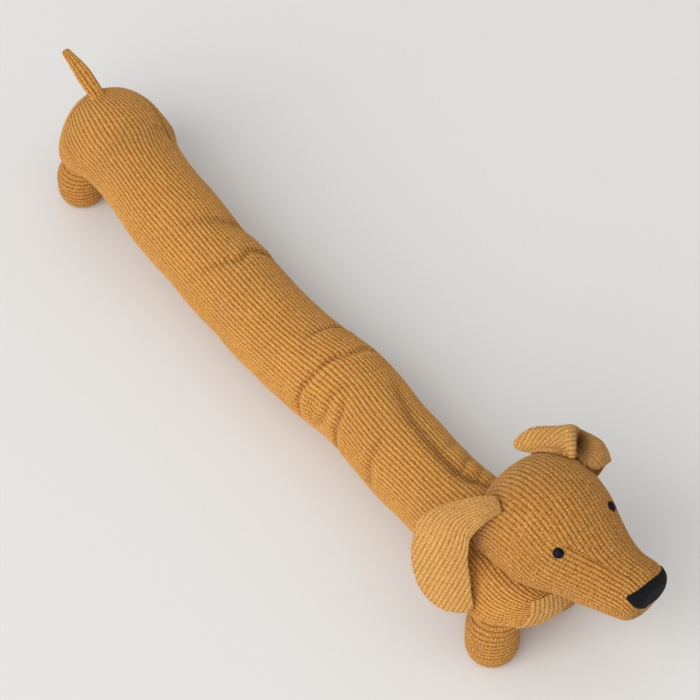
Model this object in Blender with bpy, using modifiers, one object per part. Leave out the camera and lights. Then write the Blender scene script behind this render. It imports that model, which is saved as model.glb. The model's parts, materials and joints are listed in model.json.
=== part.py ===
# Draught excluder: a long, low stuffed dachshund in wide-wale corduroy.
#
# The dog faces +X, its left side is +Y and +Z is up. Sizes are in metres. The tables are in millimetres,
# measured from a point on the floor under the middle of the back, and to_world() turns them into metres
# around the centre of the finished dog's floor rectangle.

import math
from collections import namedtuple

import bmesh
import bpy
from mathutils import Matrix, Vector
from mathutils.bvhtree import BVHTree

MM = 0.001

# Driving sizes, in millimetres
FLOOR_CENTRE_X = 9.6
FLOOR_CENTRE_Y = 10.75
SEAM_GAP = 0.3
BODY_CORDS = 60
BODY_CORD_DEPTH = 1.5
BODY_RINGS = 34
HEAD_CORDS = 48
HEAD_CORD_DEPTH = 1.4
HEAD_RINGS = 15
HEAD_CENTRE = (366.0, 28.0, 155.0)
HEAD_YAW = 12.0
LEG_HEIGHT_STEPS = 14
LEG_SIDES = 16
LEG_CORD_DEPTH = 1.3
LEG_REACH = 36.0
TAIL_RINGS = 12
TAIL_SIDES = 12
TAIL_CORD_SHARE = 0.07
TAIL_STEP = 0.05
SMOOTH_RINGS = 120
SMOOTH_POINTS = 120
FLAP_THICKNESS = 4.0
FLAP_CORD_DEPTH = 1.2
FELT_THICKNESS = 2.0
EYE_RADIUS = 6.3
EYE_POINTS = 16
EYE_RINGS = 7
EYE_RISE = 3.0
EYE_CUT = -0.25
EYE_BACK_CLEARANCE = 0.4
EAR_CORDS = 13
EAR_LENGTH_STEPS = 9
CHEST_THICKNESS = 1.6
NECK_CUTTER_RINGS = 24
NECK_CUTTER_POINTS = 36
NECK_GAP = 1.7
LEG_CUTTER_GAP = 1.2
LEG_CUTTER_HEIGHT = 110.0
LEG_CUTTER_SIDES = 32
LEG_GAP = 0.7
LEG_TOP_SHARES = (0.35, 0.7)
LEG_FEELERS = ((0.0, 0.0), (6.0, 0.0), (-6.0, 0.0), (0.0, 6.0), (0.0, -6.0))

# One section of a stuffed tube: its lowest and highest points seen from the side, its middle and half width
Section = namedtuple("Section", "low_x low_z high_x high_z centre_y half_width")

BODY_SECTIONS = (
    Section(-398, 34.0, -424, 32.0, 4, 26),
    Section(-393, 34.5, -452, 40.0, 5, 40),
    Section(-389, 35.0, -467, 57.0, 6, 47),
    Section(-385, 35.5, -473, 81.0, 6, 51),
    Section(-380, 36.0, -466, 103.0, 5, 53),
    Section(-375, 36.0, -446, 121.0, 4, 54),
    Section(-369, 36.0, -417, 131.0, 2, 55),
    Section(-361, 35.0, -386, 134.0, -1, 54.5),
    Section(-346, 33.0, -350, 133.0, -5, 52.5),
    Section(-315, 27.0, -315, 129.0, -8, 51),
    Section(-280, 20.0, -280, 123.0, -9, 52),
    Section(-240, 14.0, -240, 118.0, -8, 52.5),
    Section(-200, 10.0, -200, 113.0, -8, 51.5),
    Section(-160, 7.0, -160, 112.0, -7, 52.5),
    Section(-120, 6.0, -120, 110.0, -7, 51.5),
    Section(-80, 6.0, -80, 111.0, -8, 52),
    Section(-40, 6.0, -40, 111.0, -6, 53),
    Section(0, 6.0, 0, 112.0, -2, 53),
    Section(40, 6.0, 40, 113.0, 4, 55),
    Section(80, 7.0, 80, 112.0, 7, 52.5),
    Section(120, 9.0, 120, 112.0, 4, 51.5),
    Section(160, 12.0, 160, 115.0, 1, 51.5),
    Section(200, 16.0, 200, 119.0, -1, 50.5),
    Section(240, 21.0, 240, 124.0, -2, 51.5),
    Section(280, 27.0, 280, 131.0, -3, 53),
    Section(312, 32.0, 312, 135.0, -4, 54),
    Section(338, 37.0, 338, 137.0, -4, 55),
    Section(360, 40.0, 360, 136.0, -4, 55.5),
    Section(379, 42.0, 379, 132.0, -4, 55),
    Section(396, 44.0, 396, 126.0, -4, 52),
    Section(410, 48.0, 410, 119.0, -4, 46),
    Section(420, 55.0, 420, 111.0, -4, 37),
    Section(426, 65.0, 426, 102.0, -4, 25),
)

# Sections of the head, measured from the middle of the skull and along the way the head faces
HEAD_SECTIONS = (
    Section(-26, -54, -38, -52, 0, 22),
    Section(-23, -55, -53, -36, 0, 44),
    Section(-20, -56, -61, -12, 0, 56),
    Section(-16, -57, -58, 16, 0, 62),
    Section(-11, -58, -43, 41, 0, 65),
    Section(-5, -59, -22, 56, 0, 67),
    Section(4, -60, 3, 61, 0, 67.5),
    Section(20, -62, 26, 59, -1, 65),
    Section(38, -63, 48, 50, -1, 59),
    Section(58, -62, 68, 35, -1, 50),
    Section(79, -63, 88, 20, -1, 43),
    Section(101, -60, 107, 12, 0, 37.5),
    Section(119, -56, 124, 6, 1, 35),
    Section(132, -50, 135, -1, 1, 30),
    Section(139, -39, 141, -11, 1, 19),
)

# Hips and shoulders, where the flank swells out over a leg
Swell = namedtuple("Swell", "x z side rise reach_x reach_z")
SWELLS = (
    Swell(-424, 52, -1, 19, 34, 28),
    Swell(-405, 48, 1, 26, 38, 26),
    Swell(380, 52, -1, 25, 42, 30),
    Swell(370, 52, 1, 23, 42, 30),
)

# Cross creases of the back: where each crosses the top, how it slants, the side it is deepest on
Crease = namedtuple("Crease", "x slant middle spread width depth")
CREASES = (
    Crease(-214, 14, 95, 60, 9, 2.6),
    Crease(8, -6, 35, 34, 8, 5.0),
    Crease(34, -22, 120, 60, 9, 4.0),
    Crease(62, 8, 50, 40, 9, 3.0),
    Crease(140, 10, 60, 50, 12, 2.4),
)

# A leg: the middle of its sole and its widest radius
Leg = namedtuple("Leg", "name x y radius")
LEGS = (
    Leg("leg_front_right", 388, -51, 28.5),
    Leg("leg_front_left", 371, 47, 28.5),
    Leg("leg_rear_right", -418, -43, 27.5),
    Leg("leg_rear_left", -408, 50, 27.5),
)
CHEST_LEGS = ("leg_front_right", "leg_front_left")

# The outline of a leg: height as a share of its side, radius as a share of its widest
LEG_OUTLINE = ((0.0, 0.86), (0.05, 0.93), (0.16, 0.99), (0.45, 1.0), (0.8, 0.98), (1.0, 0.97))

# An ear: the back edge, the middle and the front edge of its cloth, from where it is sewn on to its tip
EarRow = namedtuple("EarRow", "back middle front")
EAR_RIGHT_ROWS = (
    EarRow((342, -20, 197), (353, -24, 192), (364, -26, 187)),
    EarRow((329, -33, 190), (344, -40, 188), (357, -42, 178)),
    EarRow((303, -59, 168), (332, -64, 171), (353, -60, 158)),
    EarRow((297, -88, 138), (332, -83, 142), (361, -68, 132)),
    EarRow((318, -103, 105), (344, -90, 108), (368, -74, 102)),
    EarRow((336, -99, 84), (356, -89, 85), (374, -78, 84)),
    EarRow((351, -93, 71), (362, -89, 72), (373, -84, 73)),
)
EAR_LEFT_ROWS = (
    EarRow((322, 66, 186), (333, 72, 190), (345, 79, 186)),
    EarRow((304, 66, 184), (330, 90, 204), (352, 102, 193)),
    EarRow((285, 60, 165), (322, 101, 200), (359, 114, 181)),
    EarRow((270, 66, 143), (316, 112, 180), (362, 123, 165)),
    EarRow((270, 80, 121), (314, 119, 152), (350, 121, 143)),
    EarRow((280, 93, 109), (312, 117, 126), (338, 113, 119)),
    EarRow((292, 99, 95), (312, 111, 105), (328, 109, 105)),
)

# How far each ear's cloth stays off the smooth form of its neighbours
EARS = (("ear_right", EAR_RIGHT_ROWS, 1.3), ("ear_left", EAR_LEFT_ROWS, -0.6))

# The tail, from its root on the rump to its tip
TailRow = namedtuple("TailRow", "x y z half_width half_thickness")
TAIL_ROWS = (
    TailRow(-434, 1, 118, 12, 8),
    TailRow(-443, 0, 128, 11, 7),
    TailRow(-455, -2, 138, 9, 6),
    TailRow(-469, -5, 149, 7, 5),
    TailRow(-482, -8, 158, 5, 4),
    TailRow(-489, -9, 163, 3, 2.5),
)

# A patch laid over a surface: the point that its rays start from, the turns and tilts that they cover in
# degrees, its steps, how far it stands off the surface, how round its corners are, how deep its cords are
Patch = namedtuple("Patch", "centre turns tilts heading steps_across steps_down lift roundness cord_depth")
CHEST_PATCH = Patch((350, -4, 82), (-33, 33), (-30, 11), 0.0, 16, 5, 1.6, 0.3, 0.9)
NOSE_PATCH = Patch((108, 1, -24), (-60, 60), (-14, 40), HEAD_YAW, 10, 6, 1.5, 0.55, 0.0)

# The eyes, measured from the middle of the skull and along the way the head faces
EYES = (("eye_right", (57, -38, 25)), ("eye_left", (57, 38, 25)))

CLOTH = (0.57, 0.30, 0.085, 1.0)
CLOTH_ROUGHNESS = 0.95
FELT = (0.012, 0.012, 0.014, 1.0)
FELT_ROUGHNESS = 0.97
EYE_BLACK = (0.008, 0.009, 0.014, 1.0)
EYE_ROUGHNESS = 0.3


def to_world(point):
    x, y, z = point
    return Vector(((x - FLOOR_CENTRE_X) * MM, (y - FLOOR_CENTRE_Y) * MM, z * MM))


def clear_scene():
    for scene_object in list(bpy.data.objects):
        bpy.data.objects.remove(scene_object, do_unlink=True)


def between(rows, share):
    """A smooth value between the rows of a table, share 0 at the first row and 1 at the last."""
    place = share * (len(rows) - 1)
    index = min(int(place), len(rows) - 2)
    t = place - index
    before = rows[max(index - 1, 0)]
    start, end = rows[index], rows[index + 1]
    after = rows[min(index + 2, len(rows) - 1)]
    values = []
    for a, b, c, d in zip(before, start, end, after):
        values.append(b + 0.5 * t * (c - a + t * (2 * a - 5 * b + 4 * c - d + t * (3 * (b - c) + d - a))))
    return values


def principled(name, colour, roughness):
    material = bpy.data.materials.new(name)
    material.use_nodes = True
    shader = material.node_tree.nodes["Principled BSDF"]
    shader.inputs["Base Color"].default_value = colour
    shader.inputs["Roughness"].default_value = roughness
    shader.inputs["Metallic"].default_value = 0.0
    return material


def finish_object(name, mesh_data, collection, colour, roughness):
    mesh = bpy.data.meshes.new(name)
    mesh_data.to_mesh(mesh)
    mesh_data.free()
    mesh.shade_smooth()
    piece = bpy.data.objects.new(name, mesh)
    piece.data.materials.append(principled(name, colour, roughness))
    collection.objects.link(piece)
    return piece


def closed_tube(rings, points, place):
    """A closed tube from a sphere's rings: place(share, around) gives each point, share 0 at the first ring
    and 1 at the last, and around None at the two points that close the ends."""
    tube = bmesh.new()
    bmesh.ops.create_uvsphere(tube, u_segments=points, v_segments=rings + 1, radius=1.0)
    for vertex in tube.verts:
        step = round(math.acos(max(-1.0, min(1.0, vertex.co.z))) / math.pi * (rings + 1))
        share = min(max((step - 1) / (rings - 1), 0.0), 1.0)
        closing = step in (0, rings + 1)
        around = None if closing else math.atan2(vertex.co.y, vertex.co.x)
        vertex.co = to_world(place(share, around))
    tube.normal_update()
    bmesh.ops.recalc_face_normals(tube, faces=tube.faces)
    return tube


def section_point(section, around, cord_wave):
    """A point on a section, around measured from the left flank (+Y) up over the top."""
    low_x, low_z, high_x, high_z, centre_y, half_width = section
    half_height = 0.5 * math.hypot(high_x - low_x, high_z - low_z)
    up_x = (high_x - low_x) / (2 * half_height)
    up_z = (high_z - low_z) / (2 * half_height)
    reach_side = (half_width + cord_wave) * math.cos(around)
    reach_up = (half_height + cord_wave) * math.sin(around)
    return (
        0.5 * (low_x + high_x) + up_x * reach_up,
        centre_y + reach_side,
        0.5 * (low_z + high_z) + up_z * reach_up,
    )


def section_middle(section):
    low_x, low_z, high_x, high_z, centre_y, _ = section
    return 0.5 * (low_x + high_x), centre_y, 0.5 * (low_z + high_z)


def swelled(x, y, z, around):
    """Hips and shoulders push the flank out sideways."""
    for swell in SWELLS:
        sideways = max(0.0, swell.side * math.cos(around))
        fall_x = math.exp(-((x - swell.x) / swell.reach_x) ** 2)
        fall_z = math.exp(-((z - swell.z) / swell.reach_z) ** 2)
        y += swell.side * swell.rise * fall_x * fall_z * sideways
    return x, y, z


def crease_depth(x, around):
    """How far the cross creases draw the cloth in at this place, in millimetres."""
    degrees = math.degrees(around)
    depth = 0.0
    for crease in CREASES:
        turn = (degrees - crease.middle + 180) % 360 - 180
        line = crease.x + crease.slant * math.radians(turn)
        fall_along = math.exp(-((x - line) / crease.width) ** 2)
        fall_round = math.exp(-((turn / crease.spread) ** 2))
        depth += crease.depth * fall_along * fall_round
    return depth


def body_point(share, around, cord_depth=BODY_CORD_DEPTH):
    section = between(BODY_SECTIONS, share)
    if around is None:
        return section_middle(section)
    wave = 0.5 * cord_depth * math.cos(BODY_CORDS * around)
    wave -= crease_depth(section_middle(section)[0], around)
    x, y, z = section_point(section, around, wave)
    return swelled(x, y, z, around)


def head_frame():
    centre = Matrix.Translation(Vector(HEAD_CENTRE))
    return centre @ Matrix.Rotation(math.radians(HEAD_YAW), 4, "Z")


def head_point(share, around, cord_depth=HEAD_CORD_DEPTH):
    section = between(HEAD_SECTIONS, share)
    if around is None:
        return head_frame() @ Vector(section_middle(section))
    wave = 0.5 * cord_depth * math.cos(HEAD_CORDS * around)
    return head_frame() @ Vector(section_point(section, around, wave))


def smooth_form(place):
    """The same form without its cords, from many rings, for its neighbours to lie against."""
    return closed_tube(SMOOTH_RINGS, SMOOTH_POINTS, lambda share, around: place(share, around, 0.0))


def surface_of(mesh_data):
    mesh_data.normal_update()
    return BVHTree.FromBMesh(mesh_data)


def grow(mesh_data, distance):
    mesh_data.normal_update()
    shifts = [vertex.normal * distance for vertex in mesh_data.verts]
    for vertex, shift in zip(mesh_data.verts, shifts):
        vertex.co += shift


def make_cutter(name, mesh_data, collection):
    mesh = bpy.data.meshes.new(name)
    mesh_data.to_mesh(mesh)
    mesh_data.free()
    cutter = bpy.data.objects.new(name, mesh)
    cutter.hide_render = True
    cutter.display_type = "WIRE"
    collection.objects.link(cutter)
    return cutter


def cut_away(piece, cutter):
    cut = piece.modifiers.new(cutter.name, "BOOLEAN")
    cut.operation = "DIFFERENCE"
    cut.solver = "EXACT"
    cut.object = cutter


def head_cutter(collection):
    """The head's form, grown: what lies against the head stops short of it."""
    def smooth_point(share, around):
        return head_point(share, around, 0.0)

    grown = closed_tube(NECK_CUTTER_RINGS, NECK_CUTTER_POINTS, smooth_point)
    grow(grown, NECK_GAP * MM)
    return make_cutter("neck_cutter", grown, collection)


def leg_cutter(leg, collection):
    """A round column a little wider than a leg, from the floor up."""
    column = bmesh.new()
    radius = (leg.radius + LEG_CUTTER_GAP) * MM
    middle = Matrix.Translation(to_world((leg.x, leg.y, 0.5 * LEG_CUTTER_HEIGHT)))
    bmesh.ops.create_cone(
        column,
        cap_ends=True,
        segments=LEG_CUTTER_SIDES,
        radius1=radius,
        radius2=radius,
        depth=LEG_CUTTER_HEIGHT * MM,
        matrix=middle,
    )
    return make_cutter(leg.name + "_cutter", column, collection)


def push_out(piece, surface, gap):
    """Points inside a neighbour, or closer to it than the gap, move out to the gap."""
    for vertex in piece.verts:
        nearest, normal, _, distance = surface.find_nearest(vertex.co)
        inside = (vertex.co - nearest).dot(normal) < 0
        if inside or distance < gap:
            vertex.co = nearest + normal * gap


def outline_share(height):
    for (low, low_share), (high, high_share) in zip(LEG_OUTLINE, LEG_OUTLINE[1:]):
        if height <= high:
            return low_share + (high_share - low_share) * (height - low) / (high - low)
    return LEG_OUTLINE[-1][1]


def make_leg(leg, body_surface):
    """A stump leg: level rings up its side and a top that follows the flank above it."""
    inner_rings = len(LEG_TOP_SHARES)
    last_ring = inner_rings + LEG_HEIGHT_STEPS
    rim = leg.radius * LEG_OUTLINE[-1][1]

    def roof(x, y):
        """The height of the lowest cloth near this place, less the gap."""
        heights = []
        for step_x, step_y in LEG_FEELERS:
            start = to_world((x + step_x, y + step_y, 0.0))
            hit, _, _, _ = body_surface.ray_cast(start, Vector((0, 0, 1)))
            if hit is not None:
                heights.append(hit.z)
        if not heights:
            nearest, _, _, _ = body_surface.find_nearest(to_world((x, y, LEG_REACH)))
            heights.append(nearest.z)
        return min(heights) / MM - LEG_GAP

    def place(share, around):
        ring = round(share * last_ring)
        if around is None:
            return leg.x, leg.y, roof(leg.x, leg.y) if ring == 0 else 0.0
        rim_height = roof(leg.x + rim * math.cos(around), leg.y + rim * math.sin(around))
        if ring < inner_rings:
            radius = rim * LEG_TOP_SHARES[ring]
        else:
            height = (last_ring - ring) / LEG_HEIGHT_STEPS
            level = inner_rings < ring < last_ring
            radius = leg.radius * outline_share(height)
            radius += 0.5 * LEG_CORD_DEPTH * math.cos(math.pi * ring) if level else 0.0
        x = leg.x + radius * math.cos(around)
        y = leg.y + radius * math.sin(around)
        return x, y, roof(x, y) if ring < inner_rings else height * rim_height

    return closed_tube(last_ring + 1, LEG_SIDES, place)


def make_flap(rows, cords, length_steps):
    """A flap of double cloth, its cords running from where it is sewn on to its tip."""
    flap = bmesh.new()
    bmesh.ops.create_grid(flap, x_segments=2 * cords, y_segments=length_steps, size=0.5)
    for vertex in flap.verts:
        across = vertex.co.x + 0.5
        along = vertex.co.y + 0.5
        columns = [between([getattr(row, edge) for row in rows], along) for edge in EarRow._fields]
        vertex.co = to_world(between(columns, across))
    flap.normal_update()
    shifts = []
    for index, vertex in enumerate(flap.verts):
        column = index % (2 * cords + 1)
        wave = 0.5 * FLAP_CORD_DEPTH * (1 if column % 2 else -1)
        shifts.append(vertex.normal * wave * MM)
    for vertex, shift in zip(flap.verts, shifts):
        vertex.co += shift
    return flap


def thicken(piece, thickness, offset):
    """Gives a sheet its thickness with a Solidify modifier."""
    solidify = piece.modifiers.new("thickness", "SOLIDIFY")
    solidify.thickness = thickness * MM
    solidify.offset = offset
    solidify.use_even_offset = False


def make_tail(body_surface):
    def place(share, around):
        x, y, z, half_width, half_thickness = between(TAIL_ROWS, share)
        if around is None:
            return x, y, z
        ahead = between(TAIL_ROWS, min(share + TAIL_STEP, 1.0))
        behind = between(TAIL_ROWS, max(share - TAIL_STEP, 0.0))
        along = (Vector(ahead[:3]) - Vector(behind[:3])).normalized()
        side = Vector((0, 1, 0))
        side = (side - along * side.dot(along)).normalized()
        front = side.cross(along)
        cords = 1.0 + TAIL_CORD_SHARE * math.cos(0.5 * TAIL_SIDES * around)
        offset = side * half_width * math.cos(around) + front * half_thickness * math.sin(around)
        return Vector((x, y, z)) + offset * cords

    tail = closed_tube(TAIL_RINGS, TAIL_SIDES, place)
    push_out(tail, body_surface, (SEAM_GAP + 0.5 * BODY_CORD_DEPTH) * MM)
    return tail


def make_patch(surface, patch):
    """A sheet laid over a surface: rays from a point inside it find where each of its points lies."""
    sheet = bmesh.new()
    bmesh.ops.create_grid(sheet, x_segments=patch.steps_across, y_segments=patch.steps_down, size=1.0)
    start = to_world(patch.centre)
    for index, vertex in enumerate(sheet.verts):
        u, v = vertex.co.x, vertex.co.y
        across = 0.5 + 0.5 * u * math.sqrt(1 - patch.roundness * v * v / 2)
        upward = 0.5 + 0.5 * v * math.sqrt(1 - patch.roundness * u * u / 2)
        turn = math.radians(patch.heading + patch.turns[0] + (patch.turns[1] - patch.turns[0]) * across)
        tilt = math.radians(patch.tilts[0] + (patch.tilts[1] - patch.tilts[0]) * upward)
        ray = Vector((math.cos(turn) * math.cos(tilt), math.sin(turn) * math.cos(tilt), math.sin(tilt)))
        hit, normal, _, _ = surface.ray_cast(start, ray)
        column = index % (patch.steps_across + 1)
        ridge = patch.cord_depth if column % 2 else 0.0
        vertex.co = hit + normal * (patch.lift + ridge) * MM
    sheet.normal_update()
    return sheet


def face_along(sheet, direction):
    """Turns a sheet's faces so that they look the given way."""
    total = Vector((0, 0, 0))
    for face in sheet.faces:
        total += face.normal
    if total.dot(direction) < 0:
        bmesh.ops.reverse_faces(sheet, faces=sheet.faces)
    return sheet


def make_eye(surface, place):
    """A domed eye with a flat back, sitting just clear of the cords."""
    nearest, normal, _, _ = surface.find_nearest(to_world(head_frame() @ Vector(place)))
    turn = normal.to_track_quat("Z", "Y")
    lift = (SEAM_GAP + 0.5 * HEAD_CORD_DEPTH + EYE_BACK_CLEARANCE) * MM
    eye = bmesh.new()
    bmesh.ops.create_uvsphere(eye, u_segments=EYE_POINTS, v_segments=EYE_RINGS, radius=1.0)
    for vertex in eye.verts:
        height = max(vertex.co.z, EYE_CUT) - EYE_CUT
        shape = Vector((vertex.co.x * EYE_RADIUS, vertex.co.y * EYE_RADIUS, height * EYE_RISE))
        vertex.co = nearest + turn @ shape * MM + normal * lift
    return eye


def build():
    clear_scene()
    dog = bpy.data.collections.new("draught_excluder")
    bpy.context.scene.collection.children.link(dog)

    cutters = bpy.data.collections.new("cutters")
    bpy.context.scene.collection.children.link(cutters)

    head_smooth = smooth_form(head_point)
    head_surface = surface_of(head_smooth)
    head = closed_tube(HEAD_RINGS, 2 * HEAD_CORDS, head_point)
    finish_object("head", head, dog, CLOTH, CLOTH_ROUGHNESS)
    neck_cutter = head_cutter(cutters)

    body_smooth = smooth_form(body_point)
    body_surface = surface_of(body_smooth)
    body_mesh = closed_tube(BODY_RINGS, 2 * BODY_CORDS, body_point)
    underside = surface_of(body_mesh)
    body = finish_object("body", body_mesh, dog, CLOTH, CLOTH_ROUGHNESS)
    cut_away(body, neck_cutter)

    for leg in LEGS:
        finish_object(leg.name, make_leg(leg, underside), dog, CLOTH, CLOTH_ROUGHNESS)

    finish_object("tail", make_tail(body_surface), dog, CLOTH, CLOTH_ROUGHNESS)

    chest = face_along(make_patch(body_surface, CHEST_PATCH), Vector((1, 0, 0)))
    gusset = finish_object("chest_gusset", chest, dog, CLOTH, CLOTH_ROUGHNESS)
    thicken(gusset, CHEST_THICKNESS, 1.0)
    cut_away(gusset, neck_cutter)
    for leg in LEGS:
        if leg.name in CHEST_LEGS:
            cut_away(gusset, leg_cutter(leg, cutters))

    for name, rows, clearance in EARS:
        ear_gap = (0.5 * FLAP_THICKNESS + clearance) * MM
        flap = make_flap(rows, EAR_CORDS, EAR_LENGTH_STEPS)
        push_out(flap, head_surface, ear_gap)
        push_out(flap, body_surface, ear_gap)
        ear = finish_object(name, flap, dog, CLOTH, CLOTH_ROUGHNESS)
        thicken(ear, FLAP_THICKNESS, 0.0)

    heading = head_frame().to_3x3() @ Vector((1, 0, 0))
    nose = make_patch(head_surface, NOSE_PATCH._replace(centre=head_frame() @ Vector(NOSE_PATCH.centre)))
    felt = finish_object("nose", face_along(nose, heading), dog, FELT, FELT_ROUGHNESS)
    thicken(felt, FELT_THICKNESS, 1.0)

    for name, place in EYES:
        finish_object(name, make_eye(head_surface, place), dog, EYE_BLACK, EYE_ROUGHNESS)

    head_smooth.free()
    body_smooth.free()


build()
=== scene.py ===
# %% [markdown]
# # A corduroy dachshund for the foot of a door
# This file dresses the imported solids of a long stuffed dog. The real one is sewn from wide-wale corduroy
# and filled with fibre, so nearly all that a viewer sees is cloth: round cords that run the length of the
# dog, soft creases where the filling gives way, folded ears, a felt nose and two small black eyes.
# Each cell below makes one thing and prints what it made or measured. First the frame is loaded.

# %% Load the frame
import json
import math
from functools import partial

import bmesh
import bpy
import numpy as np
from mathutils import Matrix, Vector
from mathutils.bvhtree import BVHTree

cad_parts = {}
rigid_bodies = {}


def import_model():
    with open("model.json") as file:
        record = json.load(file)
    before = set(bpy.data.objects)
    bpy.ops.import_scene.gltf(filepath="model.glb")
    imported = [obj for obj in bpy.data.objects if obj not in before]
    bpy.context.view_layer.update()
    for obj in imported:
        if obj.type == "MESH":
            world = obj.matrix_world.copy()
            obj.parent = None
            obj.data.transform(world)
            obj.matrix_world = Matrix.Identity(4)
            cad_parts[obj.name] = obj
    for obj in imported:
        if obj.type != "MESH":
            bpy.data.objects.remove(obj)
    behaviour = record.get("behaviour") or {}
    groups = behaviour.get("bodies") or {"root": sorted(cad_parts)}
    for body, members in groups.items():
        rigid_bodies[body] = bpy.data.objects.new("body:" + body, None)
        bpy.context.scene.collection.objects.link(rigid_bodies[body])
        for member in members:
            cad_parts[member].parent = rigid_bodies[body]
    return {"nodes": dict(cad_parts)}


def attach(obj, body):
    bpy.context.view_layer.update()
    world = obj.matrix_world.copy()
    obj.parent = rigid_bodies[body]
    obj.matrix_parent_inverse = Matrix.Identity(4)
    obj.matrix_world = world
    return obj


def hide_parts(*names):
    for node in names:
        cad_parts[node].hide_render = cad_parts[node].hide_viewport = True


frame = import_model()
scene = bpy.context.scene
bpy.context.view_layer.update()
MM = 0.001
# The tables count from a point under the back, in millimetres, and this is where the frame has its zero
FLOOR_CENTRE = np.array([9.6, 10.75, 0.0])
print("solids:", sorted(frame["nodes"]))

# %% [markdown]
# The camera stands high and a little in front of the dog, at its right side, with a long lens. It is made
# first, so that every later step can be looked at from the photograph's own place.

# %% The camera
IMAGE_SIDE = 700
FOCAL_PIXELS = 3348.0
CAMERA_DISTANCE = 3.75
CAMERA_TILT = math.radians(50.0)
CAMERA_TURN = math.radians(54.0)
AIM = Vector((-0.0096, 0.03475, 0.054))
SENSOR_WIDTH = 36.0

camera_data = bpy.data.cameras.new("camera")
camera_data.sensor_width = SENSOR_WIDTH
camera_data.lens = FOCAL_PIXELS / IMAGE_SIDE * SENSOR_WIDTH
camera = bpy.data.objects.new("camera", camera_data)
camera.rotation_euler = (0.5 * math.pi - CAMERA_TILT, 0.0, CAMERA_TURN)
looking = camera.rotation_euler.to_matrix() @ Vector((0, 0, -1))
camera.location = AIM - CAMERA_DISTANCE * looking
scene.collection.objects.link(camera)
scene.camera = camera
print("camera at", [round(c, 3) for c in camera.location])

# %% [markdown]
# Each stuffed part is a tube of cloth, and its form is a table of sections. A section is an ellipse, given
# by its lowest and highest points seen from the side, its middle and its half width, in millimetres. The
# form could be sculpted instead, but a table keeps each section true to the photograph and easy to change.

# %% The body's sections: low x, low z, high x, high z, centre y, half width
def table(*rows):
    return np.array(rows, float)


BODY_SECTIONS = table(
    (-335, 31, -325, 130.3, -7, 51.5),
    (-310, 26, -308, 128, -8.5, 51.3),
    (-280, 20, -280, 123, -9, 52),
    (-240, 14, -240, 118, -8, 52.5),
    (-200, 10, -200, 113, -8, 51.5),
    (-160, 7, -160, 112, -7, 52.5),
    (-120, 6, -120, 110, -7, 51.5),
    (-80, 6, -80, 111, -8, 52),
    (-40, 6, -40, 111, -6, 53),
    (0, 6, 0, 112, -2, 53),
    (40, 6, 40, 113, 4, 55),
    (80, 7, 80, 112, 7, 52.5),
    (120, 9, 120, 112, 4, 51.5),
    (160, 12, 160, 115, 1, 51.5),
    (200, 16, 200, 119, -1, 50.5),
    (240, 21, 240, 124, -2, 51.5),
    (280, 27, 280, 131, -3, 53),
    (312, 32, 312, 135, -4, 54),
    (338, 37, 338, 137, -4, 55),
    (360, 40, 360, 136, -4, 55.5),
    (379, 42, 379, 132, -4, 55),
    (396, 44, 396, 126, -4, 51.5),
    (408, 49.5, 408, 121, -4, 45.5),
    (417, 55.5, 417, 115.5, -4, 37),
    (423.5, 60, 423.5, 110, -4, 26),
    (427.5, 65, 427.5, 104.5, -4, 12),
    (428.5, 67, 428.5, 102.5, -4, 3),
)
print("body:", len(BODY_SECTIONS), "sections to x", BODY_SECTIONS[-1, 0], "mm")

# %% [markdown]
# The rump is the round end of the tube. Closed like a ball, its cords would meet in one point, and on the
# real dog they run up over it to a seam. So its rows lean back towards a seam from thigh to thigh, past the
# tail, and a second table gives the round form that the rows lie on.

# %% The rump: the same columns, then x and z of the middle of the side
RUMP_ROWS = table(
    (-450.5, 117.5, -450.5, 117.5, 3.6, 46, -438, 90),
    (-458, 112, -440, 124.5, 3.6, 48, -434, 90.5),
    (-463, 106, -429, 128.5, 3.5, 50, -429, 90),
    (-467.5, 99, -418, 131.2, 3.3, 51, -423, 89.5),
    (-471, 90, -407, 133, 3, 52, -416, 89),
    (-472.8, 79, -397, 134, 2.7, 53, -408, 88.3),
    (-471.5, 67, -388, 134, 2.4, 53.5, -400.5, 87.3),
    (-466, 56, -378, 134, 2, 54, -392, 86),
    (-455, 44, -371, 134, 1.6, 54, -384, 85),
    (-438, 36, -364, 133.7, 0.9, 54, -376, 84.5),
    (-416, 33.5, -357, 133.2, -0.3, 54, -368, 84),
    (-390, 34.5, -349, 132.8, -2.3, 54, -359, 83.5),
    (-362, 34, -339, 132, -4.8, 53, -348, 83),
)
RUMP_FORM = table(
    (-398, 34, -424, 32, 4, 26),
    (-393, 34.5, -452, 40, 5, 40),
    (-389, 35, -467, 57, 6, 47),
    (-385, 35.5, -473, 81, 6, 51),
    (-380, 36, -466, 103, 5, 53),
    (-375, 36, -446, 121, 4, 54),
    (-369, 36, -417, 131, 2, 55),
    (-361, 35, -386, 134, -1, 54.5),
    (-346, 33, -350, 133, -5, 52.5),
    (-315, 27, -315, 129, -8, 51),
    (-280, 20, -280, 123, -9, 52),
    (-240, 14, -240, 118, -8, 52.5),
)
RUMP_CENTRE = Vector((-385, 0, 84))
print("rump:", len(RUMP_ROWS), "rows on a form of", len(RUMP_FORM), "sections")

# %% [markdown]
# The head is a pear with a high round skull, a stop, cheeks and a long muzzle. It is measured from its own
# middle and turned on the neck as a whole. At the back of the skull its rows fan out too, so it has a form
# and a table of the rows that its cloth follows over it.

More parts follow.
